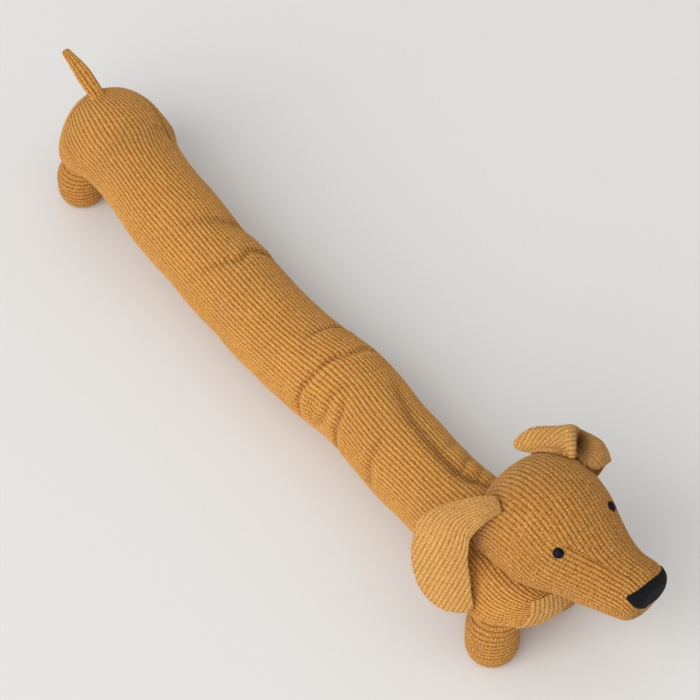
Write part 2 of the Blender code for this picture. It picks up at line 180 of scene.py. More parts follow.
# %% The head's form and its rows, with the columns of the body's table
HEAD_FORM = table(
    (-26, -54, -38, -52, 0, 22),
    (-23, -55, -53, -36, 0, 44),
    (-20, -56, -61, -12, 0, 56),
    (-16, -57, -58, 16, 0, 62),
    (-11, -58, -43, 41, 0, 65),
    (-5, -59, -22, 56, 0, 67),
    (4, -60, 3, 61, 0, 67.5),
    (20, -62, 26, 59, -1, 65),
    (38, -63, 48, 50, -1, 59),
    (58, -62, 68, 35, -1, 50),
)
HEAD_SECTIONS = table(
    (-52, -42, -56, -38, 0, 12),
    (-47, -47, -60, -24, 0, 34),
    (-42, -50, -61, -8, 0, 48),
    (-35, -53, -58, 14, 0, 57),
    (-27, -56, -46, 37, 0, 62),
    (-15, -58, -26, 54, 0, 66),
    (0, -60, 1, 61, 0, 67.5),
    (19, -62, 25, 59, -1, 65),
    (38, -63, 48, 50, -1, 59),
    (58, -62, 68, 35, -1, 50),
    (79, -63, 88, 20, -1, 43),
    (101, -60, 107, 12, 0, 37.5),
    (119, -57, 125, 8, 2.5, 36),
    (133, -51, 137, 1, 3, 32),
    (141, -40, 143.5, -9, 3, 21),
)
HEAD_CENTRE = np.array([366.0, 28.0, 155.0])
HEAD_YAW = math.radians(12.0)
print("head:", len(HEAD_SECTIONS), "rows, turned by", round(math.degrees(HEAD_YAW)), "degrees")

# %% [markdown]
# Hips, shoulders and cheeks are fuller than the cloth around them. Sections can't say that, because each is
# as full on the left as on the right. So each is a soft swelling of one flank, or a hollow if negative.

# %% Swellings: x, z, side, how far the flank rises, and the reach along and up
SWELLS = (
    (-420, 70, -1, 16, 42, 26),
    (-440, 47, -1, 12, 26, 16),
    (-372, 84, 1, 7, 24, 14),
    (-402, 34, -1, -10, 32, 13),
    (-405, 100, 1, 4, 34, 22),
    (-385, 60, 1, -5, 40, 26),
    (380, 52, -1, 25, 42, 30),
    (370, 52, 1, 23, 42, 30),
)
CHEEKS = (
    (14, -34, -1, 10, 48, 30),
    (14, -34, 1, 8, 48, 30),
)
print("swellings:", len(SWELLS), "of the body,", len(CHEEKS), "of the head")

# %% [markdown]
# The tables have few rows, and cloth has no corners. A smooth curve through the rows, of the Catmull-Rom
# kind, gives the values between them. Straight lines would show as flat bands in the shading.


# %% Smooth values between the rows of a table
def unit(value):
    """A value held between 0 and 1."""
    return np.clip(value, 0.0, 1.0)


def between(table, share):
    """Values at shares, from 0 at the first row to 1 at the last."""
    place = unit(share) * (len(table) - 1)
    index = np.minimum(place.astype(int), len(table) - 2)
    t = (place - index)[..., None]
    before = table[np.maximum(index - 1, 0)]
    start = table[index]
    end = table[index + 1]
    after = table[np.minimum(index + 2, len(table) - 1)]
    curve = 2 * before - 5 * start + 4 * end - after + t * (3 * (start - end) + after - before)
    return start + 0.5 * t * (end - before + t * curve)


def even_shares(table, steps):
    """Shares of a table that step evenly along the longer of its low and high lines."""
    fine = np.linspace(0.0, 1.0, 2001)
    rows = between(table, fine)
    low = np.linalg.norm(np.diff(rows[:, 0:2], axis=0), axis=1)
    high = np.linalg.norm(np.diff(rows[:, 2:4], axis=0), axis=1)
    length = np.concatenate([[0.0], np.cumsum(np.maximum(low, high))])
    shares = np.interp(np.linspace(0.0, length[-1], steps + 1), length, fine)
    return shares, length[-1]


print("half way along the body:", between(BODY_SECTIONS, np.array([0.5]))[0].round(1))

# %% [markdown]
# Corduroy is a row of round cords with narrow grooves between them. A bump map alone would leave the
# outline smooth, so the cords are real here: the cloth is a grid whose columns follow the cords, about six
# to a cord, and each point is raised by the cord's round profile.

# %% The profile of a cord, and which way a grid faces
CORD_STEPS = 6
CORD_ROUNDNESS = 2.6
CORD_SHOULDER = 0.55


def cord_profile(cords):
    """Height of the cord at a place counted in cords: 0 in the grooves, 1 on the crest."""
    across = np.abs(2.0 * (cords - np.floor(cords)) - 1.0)
    return (1.0 - across**CORD_ROUNDNESS) ** CORD_SHOULDER


def surface_normals(points, wraps):
    """Normals of a grid of points, [row, column, xyz], from its neighbours."""
    if wraps:
        ring = np.concatenate([points[:, -2:-1], points, points[:, 1:2]], axis=1)
        across = ring[:, 2:] - ring[:, :-2]
    else:
        across = np.gradient(points, axis=1)
    along = np.gradient(points, axis=0)
    normals = np.cross(across, along)
    size = np.linalg.norm(normals, axis=2, keepdims=True)
    return normals / np.maximum(size, 1e-9)


def normals_towards(points, wraps, away):
    """Normals of a grid, turned to the side that the direction away points to."""
    normals = surface_normals(points, wraps)
    return normals if (normals * away).sum() > 0 else -normals


print("height across a cord:", cord_profile(np.linspace(0, 1, CORD_STEPS + 1)).round(2))

# %% [markdown]
# A piece of cloth is a bmesh grid with its points moved to where the arrays say. Its UV map counts cords
# across and millimetres along, so that the colours later follow the cloth. A tube's first and last columns
# are welded, and a value on the points carries painted shade, or painted light where it is negative.


# %% A piece of cloth from a grid
WELD_DISTANCE = 0.00001


def cloth_piece(name, points, cords, along, wraps, painted_shading=None):
    """Lays a grid out on points [row, column, xyz] in millimetres, with UVs in cords and millimetres."""
    grid = bmesh.new()
    rows, columns = points.shape[:2]
    bmesh.ops.create_grid(grid, x_segments=columns - 1, y_segments=rows - 1, size=0.5)
    mesh = bpy.data.meshes.new(name)
    grid.to_mesh(mesh)
    grid.free()
    place = (points.reshape(-1, 3) - FLOOR_CENTRE) * MM
    mesh.vertices.foreach_set("co", place.ravel())
    corner = np.zeros(len(mesh.loops), dtype=np.int32)
    mesh.loops.foreach_get("vertex_index", corner)
    values = [np.broadcast_to(value, (rows, columns)).reshape(-1)[corner] for value in (cords, along)]
    uv = mesh.uv_layers.new(name="cords")
    uv.data.foreach_set("uv", np.stack(values, axis=1).astype(np.float32).ravel())
    # The points' painted shade, or painted light where negative, for the material
    if painted_shading is not None:
        marks = mesh.attributes.new("painted_shading", "FLOAT", "POINT")
        marks.data.foreach_set("value", painted_shading.astype(np.float32).ravel())
    shape = bmesh.new()
    shape.from_mesh(mesh)
    if wraps:
        bmesh.ops.remove_doubles(shape, verts=shape.verts, dist=WELD_DISTANCE)
    bmesh.ops.recalc_face_normals(shape, faces=shape.faces)
    return shown(name, shape, mesh)


def shown(name, shape, mesh):
    """Makes an object of a bmesh and shows it."""
    shape.to_mesh(mesh)
    shape.free()
    mesh.shade_smooth()
    piece = bpy.data.objects.new(name, mesh)
    scene.collection.objects.link(piece)
    print(name, "has", len(mesh.vertices), "points")
    return piece


def down(total, points):
    """Even values from 0 to a total, down the rows of a grid."""
    return np.linspace(0.0, total, points.shape[0])[:, None]


def over(total, points):
    """Even values from 0 to a total, over the columns of a grid."""
    return np.linspace(0.0, total, points.shape[1])[None, :]


def pillow(across, along, powers):
    """1 in the middle of a grid and round down to 0 at its edges, which lie at -1 and 1."""
    rim = np.maximum(np.abs(across) ** powers[0], np.abs(along) ** powers[1])
    return np.sqrt(unit(1.0 - rim))


def tree_of(points):
    """A search tree over a grid of points in millimetres."""
    rows, columns = points.shape[:2]
    corners = [row * columns + column for row in range(rows - 1) for column in range(columns - 1)]
    faces = [(c, c + 1, c + columns + 1, c + columns) for c in corners]
    return BVHTree.FromPolygons([Vector(p) for p in points.reshape(-1, 3)], faces)


# %% [markdown]
# No filled tube is even: the filling is fuller in one place and slacker in the next, and the cords wander a
# little. Noise could do this too, but slow sine waves are easy to place and never make a sharp step.


# %% Unevenness of the filling and of the cords
def unevenness(x, around):
    """Slow waves of about a millimetre, where the filling is fuller or slacker."""
    waves = 0.45 * np.sin(0.041 * x + 0.9 * np.sin(2 * around + 1.0))
    waves += 0.28 * np.sin(0.071 * x - 2 * around + 2.1)
    waves += 0.12 * np.sin(0.117 * x + 3 * around + 0.4)
    return waves


def wandering(x, around):
    """How far the cords wander sideways, counted in cords."""
    slow = 0.20 * np.sin(0.023 * x + 2 * around) + 0.10 * np.sin(0.047 * x - 3 * around + 1.7)
    return slow + 0.02 * np.sin(0.21 * x + 7 * around)


print("top of the back, up or down:", unevenness(np.arange(-300, 301, 150), 0.5 * math.pi).round(2), "mm")

# %% [markdown]
# The tubes of the body and the head come straight from their sections. Where an end is hidden, in the
# chest, under the skull and behind the felt of the nose, the sections shrink to a point. The rump ends in
# its seam, where the cords of the upper and the lower side meet along a line.

# %% Points of a stuffed tube
END_SHARE = 0.012


def corner_wave(around):
    """A cosine with straight sides, which spaces cords evenly along a flat seam."""
    turned = np.mod(around + math.pi, 2.0 * math.pi) - math.pi
    return 1.0 - 2.0 * np.abs(turned) / math.pi


def tube_points(sections, columns, rows, cords, seam_rows=0.0):
    """Points [row, column, xyz] of a tube, its columns starting under the tube and going round the left."""
    shares, length = even_shares(sections, rows)
    section = between(sections, shares)[:, None, :]
    low, high = section[..., 0:2], section[..., 2:4]
    middle = 0.5 * (low + high)
    around = np.linspace(-0.5 * math.pi, 1.5 * math.pi, columns + 1)[None, :]
    around = around + wandering(middle[..., 0], around) * 2.0 * math.pi / cords
    from_seam = shares * (len(sections) - 1) / max(seam_rows, 1e-6)
    seam = unit(1.0 - from_seam)[:, None] * (seam_rows > 0)
    across = (1.0 - seam) * np.cos(around) + seam * corner_wave(around)
    upward = (1.0 - seam) * np.sin(around) + seam * corner_wave(around - 0.5 * math.pi)
    up = 0.5 * (high - low) * upward[..., None]
    droop = section[..., 6:8] - middle if sections.shape[1] == 8 else 0.0 * middle
    x = middle[..., 0] + up[..., 0] + droop[..., 0] * across**2
    z = middle[..., 1] + up[..., 1] + droop[..., 1] * across**2
    y = section[..., 4] + section[..., 5] * across
    points = np.stack([x, y + 0 * x, z], axis=2)
    centre = np.stack([middle[..., 0], section[..., 4], middle[..., 1]], axis=2)
    share = np.linspace(0.0, 1.0, rows + 1)[:, None, None]
    to_end = 1.0 - share if seam_rows else np.minimum(share, 1.0 - share)
    near_end = unit(to_end / END_SHARE)
    points = centre + (points - centre) * np.sqrt(1.0 - (1.0 - near_end) ** 2)
    return points, around, length


def swelled(points, around, swells):
    """Hips, shoulders and cheeks push the flank out sideways."""
    for x, z, side, rise, reach_x, reach_z in swells:
        sideways = np.maximum(0.0, side * np.cos(around))
        fall = np.exp(-(((points[..., 0] - x) / reach_x) ** 2) - ((points[..., 2] - z) / reach_z) ** 2)
        points[..., 1] += side * rise * fall * sideways
    return points


print("a seam's cords, from edge to edge:", corner_wave(np.linspace(0, math.pi, 5)).round(2))

# %% [markdown]
# The creases of the back are where the long tube bends and the filling gives way. Each one is a line over
# the cloth, with the depth of its trough and the height of the soft ridges that the cloth pushes up beside
# it. A cloth simulation would crease too, but not where the photograph does. No two creases are alike.

# %% Creases given one by one
# Points of the line (x, degrees round from the left side), width, depth, ridge on its front side, ridge on
# its back side, strength at its first end and at its last
CREASES = (
    (
        ((-400, 34), (-387, 35.5), (-375, 36), (-364, 35), (-351, 35), (-338, 37)),
        4, 3.6, 0.4, 0.8, 0.7, 1,
    ),
    (((-194, 30), (-201, 62), (-207, 81), (-218, 115)), 10, 2.4, 0.4, 0.3, 1, 0.2),
    (
        ((-140, 30), (-146, 55), (-149, 67), (-139, 87), (-146, 103), (-158, 132)),
        5.5, 3.6, 0.8, 1.2, 1, 0.2,
    ),
    (((-1, 36), (-4, 55), (-5, 70), (-4, 94)), 3.8, 4, 2.2, 0.2, 1, 0.4),
    (((-12, 92), (-17, 120), (-23, 145)), 3, 0.5, 0.6, 0.2, 1, 0.7),
    (((46, 40), (43, 58), (45, 71), (44, 90), (39, 100)), 4.4, 2.4, 1.3, 0.5, 1, 0.8),
    (((39, 98), (38, 115), (37, 134), (34, 154), (35, 172), (39, 190)), 4.2, 3.4, 2.4, 0, 0.8, 1),
    (((56, 142), (54, 160), (58, 188)), 4, 1.2, 0.6, 0.5, 0.5, 1),
    (((77, 116), (71, 130), (72, 146), (75, 162), (66, 184)), 4.6, 2.2, 1.4, 0.8, 0.5, 1),
    (((88, 128), (94, 147), (96, 166), (99, 196)), 5, 3.8, 1.8, 0.8, 0.4, 1),
    (((158, 125), (162, 148), (171, 182)), 7.5, 2.4, 0.9, 0.4, 0.5, 1),
    (
        ((104, 58), (131, 66), (158, 74), (195, 78), (221, 80), (246, 81), (265, 77), (286, 64)),
        9.5, 4.6, 0.5, 1.6, 0.3, 1,
    ),
    (((236, 44), (240, 61), (249, 70), (252, 82)), 4.2, 1.8, 1.2, 0.4, 1, 0.7),
    (((259, 48), (266, 62), (276, 72), (273, 83)), 4.2, 1.5, 1, 0.3, 1, 0.6),
    (((205, 40), (212, 58), (214, 70)), 5.5, 1.4, 0.8, 0.3, 1, 0.5),
)
ARC_PER_DEGREE = 0.92
CREASE_RUN_OUT = 14.0
print("creases:", len(CREASES), "and", sum(len(crease[0]) for crease in CREASES), "points")

# %% [markdown]
# A point of the cloth looks for the nearest place on each line. How far off it is gives the trough and the
# ridges, and how far along it is lets the crease run out softly at both ends.


# %% The height of the cloth at the creases
# Where a ridge stands and how wide it is, counted in widths of its crease
RIDGE_PLACE = 1.9
RIDGE_REACH = 1.1
TROUGH_SHARPNESS = 1.6
# How much painted shade a millimetre of depth puts in a crease's trough, and how much painted light a
# millimetre of front ridge puts on that ridge
TROUGH_SHADE = 0.22
RIDGE_LIGHT = 0.10


def nearest_on_line(line, place):
    """Distance to a line of points, the same with a sign for its side, and how far along the line."""
    best = np.full(place.shape[:2], 1e9)
    offset = np.zeros(place.shape[:2])
    travelled = np.zeros(place.shape[:2])
    lengths = np.linalg.norm(np.diff(line, axis=0), axis=1)
    for index in range(len(line) - 1):
        start, step = line[index], line[index + 1] - line[index]
        t = unit(((place - start) @ step) / (step @ step))
        away = place - (start + t[..., None] * step)
        distance = np.linalg.norm(away, axis=-1)
        closer = distance < best
        best = np.where(closer, distance, best)
        side = np.sign(step[1] * away[..., 0] - step[0] * away[..., 1])
        offset = np.where(closer, side * distance, offset)
        travelled = np.where(closer, lengths[:index].sum() + t * lengths[index], travelled)
    return best, offset, travelled, lengths.sum()


def bell(offset, middle, reach):
    """A soft bump, 1 high in its middle."""
    return np.exp(-(((offset - middle) / reach) ** 2))


def crease_height(points, around):
    """Height of the creased cloth in millimetres, and its painted shade in the troughs, negative where
    painted light lies on the front ridges.
    """
    degrees = np.degrees(around) + 0 * points[..., 0]
    degrees = np.where(degrees < -30, degrees + 360, degrees)
    place = np.stack([points[..., 0], degrees * ARC_PER_DEGREE], axis=-1)
    height = np.zeros(points.shape[:2])
    painted_shading = np.zeros(points.shape[:2])
    for line, width, depth, front, back, first, last in CREASES:
        line = np.array([(x, degree * ARC_PER_DEGREE) for x, degree in line], float)
        first_step, last_step = line[0] - line[1], line[-1] - line[-2]
        line[0] += first_step * CREASE_RUN_OUT / np.linalg.norm(first_step)
        line[-1] += last_step * CREASE_RUN_OUT / np.linalg.norm(last_step)
        best, offset, travelled, whole = nearest_on_line(line, place)
        to_end = np.minimum(travelled, whole - travelled)
        fade = first + (last - first) * travelled / whole
        fade *= np.sin(0.5 * math.pi * unit(to_end / (1.7 * CREASE_RUN_OUT))) ** 1.5
        height -= depth * fade * np.exp(-((best / width) ** TROUGH_SHARPNESS))
        height += front * fade * bell(offset, RIDGE_PLACE * width, RIDGE_REACH * width)
        height += back * fade * bell(offset, -RIDGE_PLACE * width, RIDGE_REACH * width)
        # Painted shade in the trough, and painted light on the ridge in front of it
        painted_shading += TROUGH_SHADE * depth * fade * bell(offset, -0.35 * width, 0.7 * width)
        painted_shading -= RIDGE_LIGHT * front * fade * bell(offset, 1.3 * width, 0.7 * width)
    return height, np.clip(painted_shading, -0.3, 0.8)


# %% [markdown]
# On the real head each cord starts at the back of the skull and runs to the nose, and where the muzzle
# narrows some cords end in a dart. A UV that simply went round the tube would make all cords thinner there.
# So the cords are counted in millimetres of cloth, down from the ridge on top.


# %% The cords of the head
HEAD_COLUMNS = 336
HEAD_PITCH = 5.8
HEAD_ROWS = 200
HEAD_CORD_DEPTH = 1.35
# How far, in degrees, the cords of the crown start to the left of the ridge
HEAD_TWIST = 15.0
HEAD_PITCH_ROWS = (0.0, 0.45, 0.62, 0.8, 1.0)
HEAD_PITCH_SCALES = (1.0, 1.0, 0.97, 0.88, 0.72)
# The dart on each side of the muzzle: share of the way to the nose, degrees down from the ridge, cords ended
DART_ROWS = (0.56, 0.66, 0.76, 0.84)
DART_DEGREES = (50.0, 38.0, 27.0, 21.0)
DART_CORDS = 5.0
DART_WIDTH = 2.4
# Towards the back of the skull the lower cords crowd together, as the girth shrinks
NARROWEST_HALF_GIRTH = 12.0
SQUEEZED_SHARE = 0.62


def to_head(points):
    """From the head's own axes to the dog's."""
    turned = points.copy()
    turned[..., 0] = math.cos(HEAD_YAW) * points[..., 0] - math.sin(HEAD_YAW) * points[..., 1]
    turned[..., 1] = math.sin(HEAD_YAW) * points[..., 0] + math.cos(HEAD_YAW) * points[..., 1]
    return turned + HEAD_CENTRE


def travelled_along(points, axis):
    """Millimetres of cloth from the first row (axis 0) or column (axis 1) of a grid."""
    first = points[:1] if axis == 0 else points[:, :1]
    return np.cumsum(np.linalg.norm(np.diff(points, axis=axis, prepend=first), axis=2), axis=axis)


def head_cord_places(points, around):
    """Cords counted down from the ridge, and a line of 0 to 1 along the darts."""
    travelled = travelled_along(points, 1)
    share = np.linspace(0.0, 1.0, len(points))[:, None]
    aside = HEAD_TWIST * np.cos(0.5 * math.pi * unit((share[:, 0] - 0.25) / 0.5)) ** 2
    top = (0.5 - aside / 360.0) * (points.shape[1] - 1)
    columns = np.arange(points.shape[1])
    ridge = np.array([np.interp(place, columns, row) for place, row in zip(top, travelled)])
    from_ridge = np.abs(travelled - ridge[:, None])
    pitch = HEAD_PITCH * np.interp(share, HEAD_PITCH_ROWS, HEAD_PITCH_SCALES)
    t = unit((share - DART_ROWS[0]) / (DART_ROWS[-1] - DART_ROWS[0]))
    ended = DART_CORDS * t * t * (3.0 - 2.0 * t)
    dart = np.interp(share, DART_ROWS, DART_DEGREES)
    away = np.abs(np.degrees(around) - 90.0) - dart
    half_girth = 0.5 * travelled[:, -1:]
    squeeze = np.ones_like(half_girth)
    widest = int(half_girth.argmax())
    squeeze[:widest] = half_girth.max() / np.maximum(half_girth[:widest], NARROWEST_HALF_GIRTH)
    lower = unit(from_ridge / half_girth / SQUEEZED_SHARE) ** 2
    from_ridge = from_ridge * (1.0 + lower * (squeeze - 1.0))
    places = from_ridge / pitch + 0.5 + np.where(away > 0.0, ended, 0.0)
    line = bell(away, 0.0, DART_WIDTH) * unit(np.sin(math.pi * t)) ** 0.5
    return places, line


print("head: a dart on each side ends", round(DART_CORDS), "cords")

# %% [markdown]
# The rows of the skull lean, so a tube through them alone would bulge. Each point is moved onto the round
# form by a ray from inside it, and only then is the cloth raised into cords.


# %% The head's cloth
FORM_GRID = (120, 90)
FORM_BLEND = 12.0
HEAD_FORM_CENTRE = Vector((0, 0, -5))
HEAD_FORM_END = 30.0
# The cords wander as if there were this many round the head
HEAD_WANDERING = 66


def onto_form(points, form, centre, start):
    """Moves the points behind start onto the form, along lines from its centre."""
    tree = tree_of(form)
    for row, column in zip(*np.nonzero(points[..., 0] < start)):
        away = Vector(points[row, column]) - centre
        hit, _, _, _ = tree.ray_cast(centre, away.normalized())
        share = min(1.0, (start - points[row, column, 0]) / FORM_BLEND)
        points[row, column] += share * (np.array(hit) - points[row, column])
    return points


head_local, head_around, head_length = tube_points(HEAD_SECTIONS, HEAD_COLUMNS, HEAD_ROWS, HEAD_WANDERING)
head_form, _, _ = tube_points(HEAD_FORM, *FORM_GRID, HEAD_WANDERING)
head_local = onto_form(head_local, head_form, HEAD_FORM_CENTRE, HEAD_FORM_END)
head_smooth = to_head(swelled(head_local, head_around, CHEEKS))
head_cords, dart_line = head_cord_places(head_smooth, head_around)
raised = HEAD_CORD_DEPTH * (cord_profile(head_cords) - 0.5) * (1.0 - 0.6 * dart_line) - 0.9 * dart_line
head_points = head_smooth + surface_normals(head_smooth, True) * raised[..., None]
head = cloth_piece("head_cloth", head_points, head_cords, down(head_length, head_points), True)
head_tree = tree_of(head_smooth[::2, ::3])
print("head: cords from ridge to throat", round(float(head_cords.max())))

# %% [markdown]
# The head is heavy enough to press a hollow into the neck. Each point of the body under it is let down
# until it lies just below the skull, so the two cloths touch without cutting through each other.

# %% The body's cloth
BODY_CORDS = 62
BODY_ROWS = 264
BODY_CORD_DEPTH = 1.5
SEAM_ROWS = 9.0
PLAIN_ROWS = 3
RUMP_FORM_END = -318.0
NECK_GAP = 1.2
# Painted shade on the neck under the head and ear: where it starts along the body, its reach and its darkness
NECK_START = 260.0
NECK_SHADE_REACH = 13.0
NECK_SHADE_DARKNESS = 0.45


def rest_under(points, tree, gap):
    """Lets points that are inside a form above them down to just under it."""
    low = points.reshape(-1, 3).copy()
    box_low = head_smooth.reshape(-1, 3).min(axis=0) - 4
    box_high = head_smooth.reshape(-1, 3).max(axis=0) + 4
    inside_box = np.all((low > box_low) & (low < box_high), axis=1)
    for index in np.nonzero(inside_box)[0]:
        x, y, z = low[index]
        hit, _, _, _ = tree.ray_cast(Vector((x, y, 0.0)), Vector((0, 0, 1)))
        if hit is not None:
            low[index, 2] = min(z, hit.z - gap)
        else:
            nearest, _, _, distance = tree.find_nearest(Vector((x, y, z)))
            if distance < gap:
                low[index] = np.array(nearest + (Vector((x, y, z)) - nearest).normalized() * gap)
    return low.reshape(points.shape)


def painted_neck_shade(points, tree):
    """Painted shade on the body where it meets the head: 0 away from it, more beside it."""
    painted_shade = np.zeros(points.shape[:2])
    for row, column in zip(*np.nonzero(points[..., 0] > NECK_START)):
        distance = tree.find_nearest(Vector(points[row, column]))[3]
        painted_shade[row, column] = NECK_SHADE_DARKNESS * math.exp(-((distance / NECK_SHADE_REACH) ** 2))
    return painted_shade


sides = 0.5 * (BODY_SECTIONS[:, 0:2] + BODY_SECTIONS[:, 2:4])
all_rows = np.concatenate([RUMP_ROWS, np.concatenate([BODY_SECTIONS, sides], axis=1)])
columns = BODY_CORDS * CORD_STEPS
body_raw, body_around, body_length = tube_points(all_rows, columns, BODY_ROWS, BODY_CORDS, SEAM_ROWS)
rump_form, _, _ = tube_points(RUMP_FORM, *FORM_GRID, BODY_CORDS)
body_raw = onto_form(body_raw, rump_form, RUMP_CENTRE, RUMP_FORM_END)
body_raw = swelled(body_raw, body_around, SWELLS)
crease, painted_shading = crease_height(body_raw, body_around)
slow = crease + unevenness(body_raw[..., 0], body_around)
body_smooth = body_raw + surface_normals(body_raw, True) * slow[..., None]
cord_count = over(BODY_CORDS, body_raw)
raised = BODY_CORD_DEPTH * (cord_profile(cord_count) - 0.5)
raised = raised * unit(np.arange(BODY_ROWS + 1) / PLAIN_ROWS)[:, None]
body_points = body_smooth + surface_normals(body_smooth, True) * raised[..., None]
body_points = rest_under(body_points, head_tree, NECK_GAP)
# Painted shade beside the head, where the head and ear shade the neck
painted_shading += painted_neck_shade(body_points, head_tree)
body = cloth_piece("body_cloth", body_points, cord_count, down(body_length, body_points), True, painted_shading)
body_tree = tree_of(body_smooth[:, ::4])
print("body: length along the cords", round(body_length), "mm")

# %% [markdown]
# A leg is a short stump. Its cords lie as level rings, because its cloth is sewn on with the cords going
# round. A stack of rings is the simplest grid for that, and they narrow where the sole rounds off.

# %% The legs
LEG_RING_PITCH = 5.7
LEG_COLUMNS = 120
LEG_CORD_DEPTH = 1.5
FOOT_HEIGHT = 22.0
SOLE_SHARE = 0.66
# name, x and y of the sole, radius, how high it goes, how far its top leans forwards and inwards
LEGS = (
    ("leg_front_right", 388, -51, 28.5, 88, -4, 18),
    ("leg_front_left", 371, 47, 28.5, 80, 0, -16),
    ("leg_rear_right", -418, -43, 27.5, 66, 4, 10),
    ("leg_rear_left", -408, 50, 27.5, 84, 4, -12),
)


def leg_points(x, y, radius, height, lean_x, lean_y):
    rings = round(height / LEG_RING_PITCH) * CORD_STEPS
    level = np.linspace(0.0, 1.0, rings + 1)[:, None]
    turn = np.linspace(0.0, 2.0 * math.pi, LEG_COLUMNS + 1)[None, :]
    foot = unit(level * height / FOOT_HEIGHT)
    rounding = SOLE_SHARE + (1.0 - SOLE_SHARE) * np.sqrt(1.0 - (1.0 - foot) ** 2)
    above = unit((level - 0.5) / 0.5)
    reach = radius * rounding * (1.0 - 0.25 * above**2)
    lean = above**1.6
    px = x + reach * np.cos(turn) + lean_x * lean
    py = y + reach * np.sin(turn) + lean_y * lean
    pz = level * height + 0 * turn
    return np.stack([px, py, pz], axis=2)


def closed_ends(points):
    """Adds a centre point, as a whole row, at each end."""
    first = np.repeat(points[:1].mean(axis=1, keepdims=True), points.shape[1], axis=1)
    last = np.repeat(points[-1:].mean(axis=1, keepdims=True), points.shape[1], axis=1)
    return np.concatenate([first, points, last], axis=0)


leg_cloths = []
for name, x, y, radius, height, lean_x, lean_y in LEGS:
    smooth = leg_points(x, y, radius, height, lean_x, lean_y)
    outward = surface_normals(smooth, True)
    outward[..., 2] = 0.0
    ring_count = (np.arange(smooth.shape[0]) / CORD_STEPS)[:, None]
    raised = LEG_CORD_DEPTH * (cord_profile(ring_count) - 0.5) + 0 * smooth[..., 0]
    raised[0] = -0.5 * LEG_CORD_DEPTH
    points = closed_ends(smooth + outward * raised[..., None])
    rings = np.arange(-1, len(points) - 1)[:, None] / CORD_STEPS
    leg = cloth_piece(name + "_cloth", points, rings, over(2 * math.pi * radius, points), True)
    leg_cloths.append((leg, name))

# %% [markdown]
# An ear is two layers of cloth sewn together and turned, so its edge is round. The near one hangs over the
# neck, and the far one has flipped back and folded over. A net of a few points gives each one's middle
# sheet, read off the photograph, because a fold like that is quicker to place than to simulate.

# %% The ears: points from back edge to front edge, row by row from where it is sewn on to its tip
EAR_RIGHT = (
    ((346, -18, 199), (355, -20, 197), (364, -21, 192)),
    ((331, -33, 193), (348, -37, 195), (358, -35, 187)),
    ((315, -49, 180), (339, -54, 187), (355, -47, 178)),
    ((302, -64, 167), (333, -67, 178), (354, -58, 167)),
    ((295, -78, 154), (332, -77, 165), (357, -63, 154)),
    ((299, -90, 136), (335, -85, 149), (361, -66, 138)),
    ((308, -99, 119), (343, -89, 128), (367, -67, 119)),
    ((325, -104, 96), (353, -90, 105), (374, -70, 101)),
    ((342, -99, 78), (363, -87, 88), (379, -71, 88)),
    ((359, -90, 72), (371, -83, 76), (379, -76, 81)),
)
EAR_LEFT = (
    (
        (341, 60, 203), (347, 64, 203), (352, 69, 202), (356, 72, 201),
        (352, 80, 190), (361, 78, 196), (365, 81, 192),
    ),
    (
        (301, 43, 184), (318, 61, 196), (334, 75, 204), (346, 80, 209),
        (318, 106, 164), (366, 91, 199), (371, 93, 186),
    ),
    (
        (290, 49, 182), (295, 66, 194), (311, 84, 200), (323, 97, 205),
        (318, 112, 182), (352, 112, 196), (369, 112, 181),
    ),
    (
        (294, 64, 160), (303, 80, 165), (311, 94, 166), (319, 104, 166),
        (327, 112, 160), (341, 119, 164), (355, 120, 156),
    ),
    (
        (301, 79, 126), (309, 88, 125), (315, 96, 125), (321, 104, 125),
        (327, 111, 124), (334, 117, 122), (341, 121, 119),
    ),
    (
        (311, 94, 99), (315, 99, 97), (318, 102, 96), (321, 106, 96),
        (324, 110, 96), (326, 113, 96), (329, 116, 98),
    ),
)
EAR_ROWS = 120
EAR_HALF_THICKNESS = 2.2
HEAD_GAP = 1.6
BODY_GAP = 1.8


def ear_points(table, columns):
    """The middle sheet of an ear: [row, column, xyz]."""
    net = np.array(table, float)
    rows = between(net.reshape(len(net), -1), np.linspace(0.0, 1.0, EAR_ROWS + 1))
    rows = rows.reshape(EAR_ROWS + 1, net.shape[1], 3).transpose(1, 0, 2)
    flat = rows.reshape(net.shape[1], -1)
    sheet = between(flat, np.linspace(0.0, 1.0, columns + 1))
    return sheet.reshape(columns + 1, EAR_ROWS + 1, 3).transpose(1, 0, 2)


def keep_off(points, tree, gap):
    """Moves points that are inside a neighbour, or too close, out to the gap."""
    flat = points.reshape(-1, 3).copy()
    for index, point in enumerate(flat):
        here = Vector(point)
        nearest, normal, _, distance = tree.find_nearest(here)
        inside = (here - nearest).dot(normal) < 0
        if inside or distance < gap:
            flat[index] = np.array(nearest + normal * gap)
    return flat.reshape(points.shape)


sheets = {}
for name, table_of_ear, columns in (("ear_right", EAR_RIGHT, 112), ("ear_left", EAR_LEFT, 168)):
    sheet = keep_off(ear_points(table_of_ear, columns), head_tree, EAR_HALF_THICKNESS + HEAD_GAP)
    sheet = keep_off(sheet, body_tree, EAR_HALF_THICKNESS + BODY_GAP)
    long, wide = travelled_along(sheet, 0)[-1], travelled_along(sheet, 1)[:, -1]
    print(name, "laid flat:", round(np.median(long)), "by", round(wide.max()), "mm")
    sheets[name] = sheet

# %% [markdown]
# The cords of the near ear leave its root together and then hang parallel, and those of the far ear run
# aslant over the fold. So each ear counts its own cords. Then the sheet becomes a very flat closed pillow:
# one half of the grid's columns is the outer layer, and the other half the layer under it.


# %% The cloth of the ears
EAR_CORD_DEPTH = 1.0
EAR_EDGES = (14, 30)
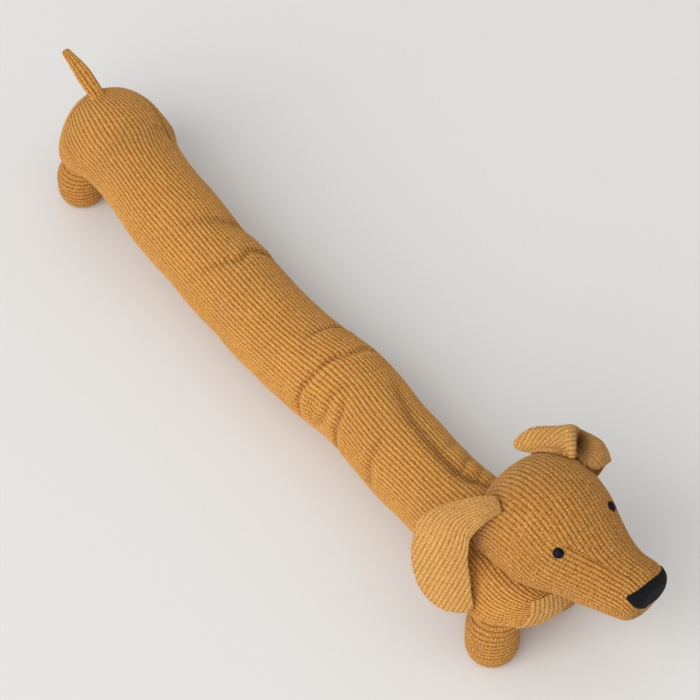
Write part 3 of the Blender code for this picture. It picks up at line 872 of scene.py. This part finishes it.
# The near ear: its cords at the root, the direction across the hanging ones, their start and their pitch
NEAR_EAR_CORDS = 16
NEAR_EAR_ACROSS = np.array([0.722, 0.446, -0.270])
NEAR_EAR_START = 131.0
NEAR_EAR_PITCH = 4.3
NEAR_EAR_LENGTH = 170.0
# The far ear: the slant and pitch of its cords, and where its fold and its cavity are, as shares across
FAR_EAR_SLANT = 1.35
FAR_EAR_PITCH = 5.2
FAR_EAR_FOLD = (0.48, 0.54, 0.60)
FAR_EAR_CAVITY = 0.63
# Width of the painted shade along each ear's root, where it meets the head
ROOT_SHADE_WIDTH = 3.2


def near_ear_cords(sheet, across, along):
    """Cords and millimetres, and no painted shade, as it has no fold."""
    lower = unit((along - 0.12) / 0.45)
    lower = lower * lower * (3.0 - 2.0 * lower)
    straight = (sheet @ NEAR_EAR_ACROSS - NEAR_EAR_START) / NEAR_EAR_PITCH
    counted = (1.0 - lower) * across * NEAR_EAR_CORDS + lower * straight + 20.0
    return counted, along * NEAR_EAR_LENGTH + 0 * across, 0.0


def far_ear_cords(sheet, across, along):
    """Cords and millimetres, and the painted shade on the folded lobe and in its cavity."""
    start, middle, end = FAR_EAR_FOLD
    wide, long = travelled_along(sheet, 1), travelled_along(sheet, 0)
    wide -= wide[:, [int(middle * (sheet.shape[1] - 1))]]
    counted = (wide * math.cos(FAR_EAR_SLANT) - long * math.sin(FAR_EAR_SLANT)) / FAR_EAR_PITCH + 60.0
    travelled = long * math.cos(FAR_EAR_SLANT) + wide * math.sin(FAR_EAR_SLANT)
    folded = unit((across - start) / (end - start))
    # Painted shade on the lobe folded back beyond the fold, and deeper painted shade in the cavity
    dark = 0.38 * folded * (0.75 + 0.25 * np.sin(along * 9.0 + across * 14.0))
    dark += 0.8 * bell(across, FAR_EAR_CAVITY, 0.06) * np.exp(-(((along - 0.18) / 0.2) ** 4))
    return counted, travelled, dark


def both_layers(outer, under):
    """A closed ring of columns: over the outer layer and back over the one under it."""
    return np.concatenate([outer, under[:, ::-1][:, 1:]], axis=1)


ear_cloths = []
for name, cords_of in (("ear_right", near_ear_cords), ("ear_left", far_ear_cords)):
    sheet = sheets[name]
    across, along = over(1.0, sheet), down(1.0, sheet)
    counted, travelled, dark = cords_of(sheet, across, along)
    half = EAR_HALF_THICKNESS * pillow(2 * across - 1, 2 * along - 1, EAR_EDGES)
    thick = half + EAR_CORD_DEPTH * (cord_profile(counted) - 0.5) * unit(half)
    step = surface_normals(sheet, False) * thick[..., None]
    # Painted shade along the root, and on the far ear's folded lobe
    root = bell(along * NEAR_EAR_LENGTH, 0.0, ROOT_SHADE_WIDTH) * (0.45 + 0.35 * np.cos(across * 44.0)) + dark
    points = both_layers(sheet + step, sheet - step)
    values = [both_layers(value, value) for value in (counted, travelled, root)]
    ear_cloths.append((cloth_piece(name + "_cloth", points, *values[:2], True, values[2]), name))

# %% [markdown]
# The tail is a narrow tube, pressed flat so that a fold runs along it, and it tapers to its tip. Its rows
# stand square to its own middle line, which keeps it from shearing where it leans.

# %% The tail: x, y, z, half width and half thickness from root to tip
TAIL = table(
    (-431, 1, 114, 9, 8),
    (-441, 0, 126, 8.5, 7),
    (-450, -2, 135, 9, 6),
    (-460, -3.5, 143, 9.3, 5.2),
    (-470, -5, 150, 8, 4.6),
    (-480, -7.5, 157, 6, 4.2),
    (-487, -9, 162, 4.6, 3.6),
    (-490, -9.5, 164, 3, 2.4),
)
TAIL_CORDS = 10
TAIL_ROWS = 60
TAIL_LENGTH = 70.0
TAIL_CORD_DEPTH = 1.3
TIP_START = 0.93
FOLD_DEPTH = 0.42


def tail_points():
    shares = np.linspace(0.0, 1.0, TAIL_ROWS + 1)
    rows = between(TAIL, shares)
    along = np.gradient(rows[:, :3], axis=0)
    along /= np.linalg.norm(along, axis=1, keepdims=True)
    side = np.array([0.0, 1.0, 0.0]) - along * along[:, 1:2]
    side /= np.linalg.norm(side, axis=1, keepdims=True)
    front = np.cross(side, along)
    turn = np.linspace(0.0, 2.0 * math.pi, TAIL_CORDS * CORD_STEPS + 1)
    tip = np.sqrt(1.0 - unit((shares - TIP_START) / (1.0 - TIP_START)) ** 2)
    wide = (rows[:, 3] * tip)[:, None] * np.cos(turn)[None, :]
    thick = (rows[:, 4] * tip)[:, None] * np.sin(turn)[None, :]
    fold = np.exp(-(((np.cos(turn) + 0.1) / 0.3) ** 2)) * np.sign(np.sin(turn))
    thick -= (rows[:, 4] * tip)[:, None] * FOLD_DEPTH * fold[None, :]
    return rows[:, None, :3] + side[:, None] * wide[..., None] + front[:, None] * thick[..., None]


smooth = tail_points()
from_middle = smooth - smooth.mean(axis=1, keepdims=True)
cords = TAIL_CORD_DEPTH * (cord_profile(over(TAIL_CORDS, smooth)) - 0.5)
cords = cords * unit(np.linalg.norm(from_middle, axis=2) / 4.0)
points = closed_ends(smooth + normals_towards(smooth, True, from_middle) * cords[..., None])
tail = cloth_piece("tail_cloth", points, over(TAIL_CORDS, points), down(TAIL_LENGTH, points), True)

# %% [markdown]
# The chest panel and the felt nose are patches sewn over another piece. A patch could be wrapped with a
# Shrinkwrap modifier, but rays from a point inside the piece, each with its turn and its tilt, let the
# patch have the outline that the photograph shows.


# %% A patch on another piece
PATCH_THICKNESS = 1.2
FORWARD = np.array([1.0, 0.0, 0.0])


def laid_on(tree, centre, turns, tilts):
    """Where rays from a centre meet a form, by their turns and tilts in degrees: [row, column, xyz]."""
    turns, tilts = np.radians(turns), np.radians(tilts)
    rays = np.stack([np.cos(turns) * np.cos(tilts), np.sin(turns) * np.cos(tilts), np.sin(tilts)], axis=-1)
    hits = [tree.ray_cast(Vector(centre), Vector(ray))[0] for ray in rays.reshape(-1, 3)]
    return np.array(hits, float).reshape(rays.shape)


def patch_piece(name, points, cords, length):
    patch = cloth_piece(name, points, over(cords, points), down(length, points), False)
    thick = patch.modifiers.new("thickness", "SOLIDIFY")
    thick.thickness = PATCH_THICKNESS * MM
    thick.offset = -1.0
    return patch


# %% [markdown]
# The chest has a panel of its own, with its cords running up and down, across those of the flank.

# %% The chest panel
CHEST_CENTRE = Vector((350, -4, 82))
CHEST_EDGE_TILTS = (-30.0, -16.0, -6.0, 4.0, 18.0)
CHEST_EDGE_TURNS = (39.0, 33.0, 26.0, 21.0, 19.0)
CHEST_CORDS = 10
CHEST_CORD_DEPTH = 1.3
CHEST_ROWS = 60
CHEST_LENGTH = 60.0
CHEST_EDGES = (20, 14)
CHIN_GAP = 0.6

across = np.linspace(-1.0, 1.0, CHEST_CORDS * CORD_STEPS + 1)[None, :]
upward = np.linspace(-1.0, 1.0, CHEST_ROWS + 1)[:, None]
tilts = np.linspace(CHEST_EDGE_TILTS[0], CHEST_EDGE_TILTS[-1], CHEST_ROWS + 1)[:, None] + 0 * across
chest = laid_on(body_tree, CHEST_CENTRE, np.interp(tilts, CHEST_EDGE_TILTS, CHEST_EDGE_TURNS) * across, tilts)
lift = 0.3 + 0.7 * pillow(across, upward, CHEST_EDGES)
lift = lift + CHEST_CORD_DEPTH * cord_profile(over(CHEST_CORDS, chest))
chest = chest + normals_towards(chest, False, FORWARD) * lift[..., None]
panel = patch_piece("chest_cloth", rest_under(chest, head_tree, CHIN_GAP), CHEST_CORDS, CHEST_LENGTH)

# %% [markdown]
# The nose is a patch of black felt with round corners, sewn over the end of the muzzle. The head is seen
# aslant, so the far side of the patch is turned further round and tilted lower than the near side.

# %% The felt nose
NOSE_CENTRE = to_head(np.array([108.0, 1.0, -24.0]))
NOSE_EDGE_TILTS = (-8.0, -4.0, 8.0, 20.0, 29.0, 34.0)
NOSE_EDGE_TURNS = (8.0, 17.0, 29.0, 40.0, 48.0, 47.0)
NOSE_GRID = (64, 40)
NOSE_EDGES = (12, 10)
# Degrees: how far the top edge arches, and how the far side turns out and tilts down at its top and bottom
NOSE_ARCH = 9.0
FAR_SIDE_TURN = 16.0
FAR_TOP_TILT = 19.0
FAR_BOTTOM_TILT = 13.0

across = np.linspace(-1.0, 1.0, NOSE_GRID[0] + 1)[None, :]
upward = np.linspace(0.0, 1.0, NOSE_GRID[1] + 1)[:, None]
far = np.maximum(across, 0.0)
tilts = NOSE_EDGE_TILTS[0] + (NOSE_EDGE_TILTS[-1] - NOSE_EDGE_TILTS[0]) * upward + 0 * across
edge = np.interp(tilts, NOSE_EDGE_TILTS, NOSE_EDGE_TURNS)
tilts += upward * (NOSE_ARCH * (1.0 - across**2) - FAR_TOP_TILT * far**2)
tilts -= FAR_BOTTOM_TILT * (1.0 - upward) * far
turns = math.degrees(HEAD_YAW) + (edge + FAR_SIDE_TURN * far) * across
felt = laid_on(head_tree, NOSE_CENTRE, turns, tilts)
lift = 0.7 + 1.3 * pillow(across, 2 * upward - 1, NOSE_EDGES)
nose = patch_piece("nose_felt", felt + normals_towards(felt, False, FORWARD) * lift[..., None], 1.0, 1.0)

# %% [markdown]
# The eyes are small black domes with a shank through the cloth. Each is a flattened sphere, turned so that
# it sits square on the cloth around it.

# %% The eyes
EYE_RADIUS = 6.0
EYE_FLATNESS = 0.62
EYE_RISE = 0.2
EYE_PLACES = (("eye_right", (54, -43, 24)), ("eye_left", (57, 37, 25)))

eyes = []
for name, place in EYE_PLACES:
    here = Vector(to_head(np.array(place, float)))
    nearest, normal, _, _ = head_tree.find_nearest(here)
    if normal.dot(here - Vector(HEAD_CENTRE)) < 0:
        normal = -normal
    turn = normal.to_track_quat("Z", "Y").to_matrix().to_4x4()
    dome = bmesh.new()
    bmesh.ops.create_uvsphere(dome, u_segments=48, v_segments=24, radius=EYE_RADIUS * MM)
    bmesh.ops.scale(dome, vec=(1.0, 1.0, EYE_FLATNESS), verts=dome.verts)
    place_in_dog = (nearest + normal * EYE_RISE - Vector(FLOOR_CENTRE)) * MM
    bmesh.ops.transform(dome, matrix=Matrix.Translation(place_in_dog) @ turn, verts=dome.verts)
    eyes.append((shown(name + "_dome", dome, bpy.data.meshes.new(name + "_dome")), name))

# %% [markdown]
# A material is a network of nodes. A few helpers fill in a node's sockets and make noise, a range, a blend
# and a bump. Noise is laid over the object's own coordinates, so it stays on the cloth.


# %% Helpers for materials
def node(tree, kind, **settings):
    made = tree.nodes.new("ShaderNode" + kind)
    for key, value in settings.items():
        setattr(made, key, value)
    return made


def put(tree, socket, value):
    if isinstance(value, bpy.types.NodeSocket):
        tree.links.new(value, socket)
    else:
        socket.default_value = value


def filled(tree, made, **values):
    """Fills in the sockets of a node, with an underscore for each space in a socket's name."""
    for name, value in values.items():
        put(tree, made.inputs[name.replace("_", " ")], value)
    return made.outputs


def math_node(tree, operation, *values):
    made = node(tree, "Math", operation=operation)
    for socket, value in zip(made.inputs, values):
        put(tree, socket, value)
    return made.outputs[0]


def noise(tree, scale, detail=2.0, distortion=0.0):
    place = node(tree, "TexCoord").outputs["Object"]
    made = node(tree, "TexNoise")
    return filled(tree, made, Vector=place, Scale=scale, Detail=detail, Distortion=distortion)[0]


def ramp(tree, value, low, high, to_low=0.0, to_high=1.0, kind="SMOOTHSTEP"):
    made = node(tree, "MapRange", interpolation_type=kind)
    filled(tree, made, From_Min=low, From_Max=high, To_Min=to_low, To_Max=to_high)
    return filled(tree, made, Value=value)[0]


def blend(tree, share, first, second):
    """From the first colour at a share of 0 to the second at 1."""
    made = node(tree, "Mix", data_type="RGBA")
    return filled(tree, made, Factor=share, A=first, B=second)["Result"]


def bump(tree, height, strength, distance):
    made = node(tree, "Bump")
    return filled(tree, made, Height=height, Strength=strength, Distance=distance)[0]


def new_material(name, **values):
    """A material, its node tree and its shader with some sockets filled in."""
    material = bpy.data.materials.new(name)
    material.use_nodes = True
    tree = material.node_tree
    shader = tree.nodes["Principled BSDF"]
    filled(tree, shader, **values)
    print("material", name)
    return material, tree, shader


# %% [markdown]
# The cloth is one ochre yarn. Its colour goes from pale on the crests of the cords to dark in the grooves,
# between the chenille beads and in the creases, and this dark is painted shade; light specks on the crests
# are painted highlights. The UV map counts cords, so the place across a cord is its fraction, and the same
# map gives the chenille beads along it. An image of corduroy would stretch here.

# %% The corduroy
# Pale crest colours, and groove colours that hold painted shade: the body, then the head and legs
CREST = (0.615, 0.288, 0.059, 1.0)
GROOVE = (0.285, 0.100, 0.013, 1.0)
HEAD_CREST = (0.500, 0.224, 0.042, 1.0)
HEAD_GROOVE = (0.200, 0.066, 0.009, 1.0)
# A lighter copy of the cloth, as painted light, for the chest panel and ears that face the light
LIT_CREST = (0.600, 0.315, 0.088, 1.0)
LIT_GROOVE = (0.360, 0.148, 0.028, 1.0)
# Tint of painted highlights, the lit tips of fibres on the crests
GLINT_TINT = (0.80, 0.52, 0.22, 1.0)
SHEEN_TINT = (1.0, 0.72, 0.4, 1.0)
BEAD_LENGTH = 3.9
# Each cord starts its beads a little later than the one before it
BEAD_STEP = 0.618
BEAD_SHIFT = 0.16


def corduroy(name, crest, groove):
    material, tree, shader = new_material(name, Specular_IOR_Level=0.15, Sheen_Weight=0.28)
    filled(tree, shader, Sheen_Roughness=0.5, Sheen_Tint=SHEEN_TINT)
    add, subtract, multiply = (partial(math_node, tree, kind) for kind in ("ADD", "SUBTRACT", "MULTIPLY"))
    fraction, size = partial(math_node, tree, "FRACT"), partial(math_node, tree, "ABSOLUTE")
    uv = node(tree, "UVMap", uv_map="cords").outputs[0]
    split = filled(tree, node(tree, "SeparateXYZ"), Vector=uv)
    cords, along = split[0], split[1]
    # The points' painted shade of creases, neck and ears, negative for the painted light on crease ridges
    painted_shade = node(tree, "Attribute", attribute_name="painted_shading").outputs["Fac"]
    fuzz = noise(tree, 560.0, 3.0)

    shift = multiply(fraction(multiply(math_node(tree, "FLOOR", cords), BEAD_STEP)), BEAD_SHIFT)
    beads = add(math_node(tree, "DIVIDE", along, BEAD_LENGTH), shift)
    # Painted shade in the grooves between the cords and in the gaps between the beads, deeper or shallower
    # with a slow noise
    groove_dark = ramp(tree, size(subtract(fraction(cords), 0.5)), 0.24, 0.5)
    bead_dark = ramp(tree, size(subtract(fraction(beads), 0.5)), 0.20, 0.5)
    shade_noise = ramp(tree, noise(tree, 230.0), 0.35, 0.65, 0.14, 0.58, "LINEAR")
    bead_depth = multiply(bead_dark, shade_noise)
    depth = math_node(tree, "MAXIMUM", multiply(groove_dark, add(shade_noise, 0.55)), bead_depth)
    # The points' painted shade deepens the groove colour
    depth = add(depth, multiply(painted_shade, 0.62))
    depth = add(depth, multiply(subtract(fuzz, 0.5), 2.6))
    depth = filled(tree, node(tree, "Clamp"), Value=depth)[0]

    # Painted highlights: light specks on the crests, fewer where there is painted shade
    glints = ramp(tree, noise(tree, 640.0, 1.0), 0.56, 0.70)
    lit = multiply(glints, subtract(0.55, multiply(depth, 0.45)))
    colour = blend(tree, lit, blend(tree, depth, crest, groove), GLINT_TINT)
    patches = add(multiply(noise(tree, 22.0, 4.0), 0.22), 0.89)
    # The points' painted shade also darkens the whole tone
    value = multiply(patches, subtract(1.0, multiply(painted_shade, 0.30)))
    tone = filled(tree, node(tree, "HueSaturation"), Value=value, Color=colour)[0]

    height = add(multiply(bead_depth, -1.1), multiply(fuzz, 0.55))
    height = add(height, multiply(groove_dark, -0.5))
    filled(tree, shader, Base_Color=tone, Roughness=add(multiply(fuzz, 0.12), 0.84))
    filled(tree, shader, Normal=bump(tree, height, 0.75, 0.0012))
    return material


body_cloth = corduroy("ochre_corduroy", CREST, GROOVE)
head_cloth = corduroy("head_corduroy", HEAD_CREST, HEAD_GROOVE)
lit_cloth = corduroy("painted_lit_corduroy", LIT_CREST, LIT_GROOVE)
for pieces, material in (
    ((body, tail), body_cloth),
    ([head] + [leg for leg, _ in leg_cloths], head_cloth),
    ([panel] + [ear for ear, _ in ear_cloths], lit_cloth),
):
    for piece in pieces:
        piece.data.materials.append(material)

# %% [markdown]
# Felt has no weave, only short matted fibres, so it is nearly black with a fine bump and hardly any shine.
# The eyes are black too, but smooth, with a faint blue where the window shows in them.

# %% The felt and the eyes
FELT_BLACKS = ((0.002, 0.0024, 0.0028, 1.0), (0.012, 0.0135, 0.015, 1.0))
EYE_BLACKS = ((0.0015, 0.002, 0.005, 1.0), (0.003, 0.005, 0.016, 1.0))

felt_black, tree, shader = new_material("black_felt", Roughness=0.95, Specular_IOR_Level=0.1)
fibres = noise(tree, 700.0, 5.0, 1.5)
filled(tree, shader, Sheen_Weight=0.02, Sheen_Roughness=0.6)
filled(tree, shader, Base_Color=blend(tree, fibres, *FELT_BLACKS), Normal=bump(tree, fibres, 0.6, 0.0006))
nose.data.materials.append(felt_black)

eye_black, tree, shader = new_material("eye_black", Roughness=0.45, Specular_IOR_Level=0.12)
filled(tree, shader, Base_Color=blend(tree, noise(tree, 240.0), *EYE_BLACKS))
for eye, _ in eyes:
    eye.data.materials.append(eye_black)

# %% [markdown]
# Each piece stands for its solid and rides on the one body that the dog has, as cloth has no joints.

# %% Join the pieces to the frame
for piece, node_name in [(head, "head"), (body, "body"), (tail, "tail"), (panel, "chest_gusset")]:
    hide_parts(node_name)
    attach(piece, "root")
for piece, node_name in leg_cloths + ear_cloths:
    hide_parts(node_name)
    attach(piece, "root")
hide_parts("nose")
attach(nose, "root")
for eye, node_name in eyes:
    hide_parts(node_name)
    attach(eye, "root")
print("pieces on the frame:", 5 + len(leg_cloths) + len(ear_cloths) + len(eyes))

# %% [markdown]
# The photograph was taken in soft daylight on a seamless pale floor. One large light from the left gives
# the cords their shade and the dog its faint shadow to the right, and the world fills in the rest.

# %% The floor and the light
FLOOR_HALF = 6.0
FLOOR_DROP = 0.0005
WINDOW_PLACE = Vector((2.3, -7.7, 5.0))
WINDOW_SIDE = 11.0
WINDOW_WATTS = 900.0
WINDOW_COLOUR = (1.0, 0.99, 0.975)
WORLD_STRENGTH = 0.60

plane = bmesh.new()
bmesh.ops.create_grid(plane, x_segments=1, y_segments=1, size=FLOOR_HALF)
floor = shown("floor", plane, bpy.data.meshes.new("floor"))
floor.location.z = -FLOOR_DROP
paper, tree, shader = new_material("pale_floor", Roughness=0.9, Specular_IOR_Level=0.1)
filled(tree, shader, Base_Color=(0.80, 0.795, 0.785, 1.0))
floor.data.materials.append(paper)

lamp = bpy.data.lights.new("window", "AREA")
lamp.shape = "SQUARE"
lamp.size = WINDOW_SIDE
lamp.energy = WINDOW_WATTS
lamp.color = WINDOW_COLOUR
window = bpy.data.objects.new("window", lamp)
window.location = WINDOW_PLACE
window.rotation_euler = (-WINDOW_PLACE).to_track_quat("-Z", "Y").to_euler()
scene.collection.objects.link(window)

world = bpy.data.worlds.new("studio")
scene.world = world
world.use_nodes = True
sky = world.node_tree.nodes["Background"]
filled(world.node_tree, sky, Color=(1.0, 1.0, 1.0, 1.0), Strength=WORLD_STRENGTH)
scene.view_settings.view_transform = "Standard"
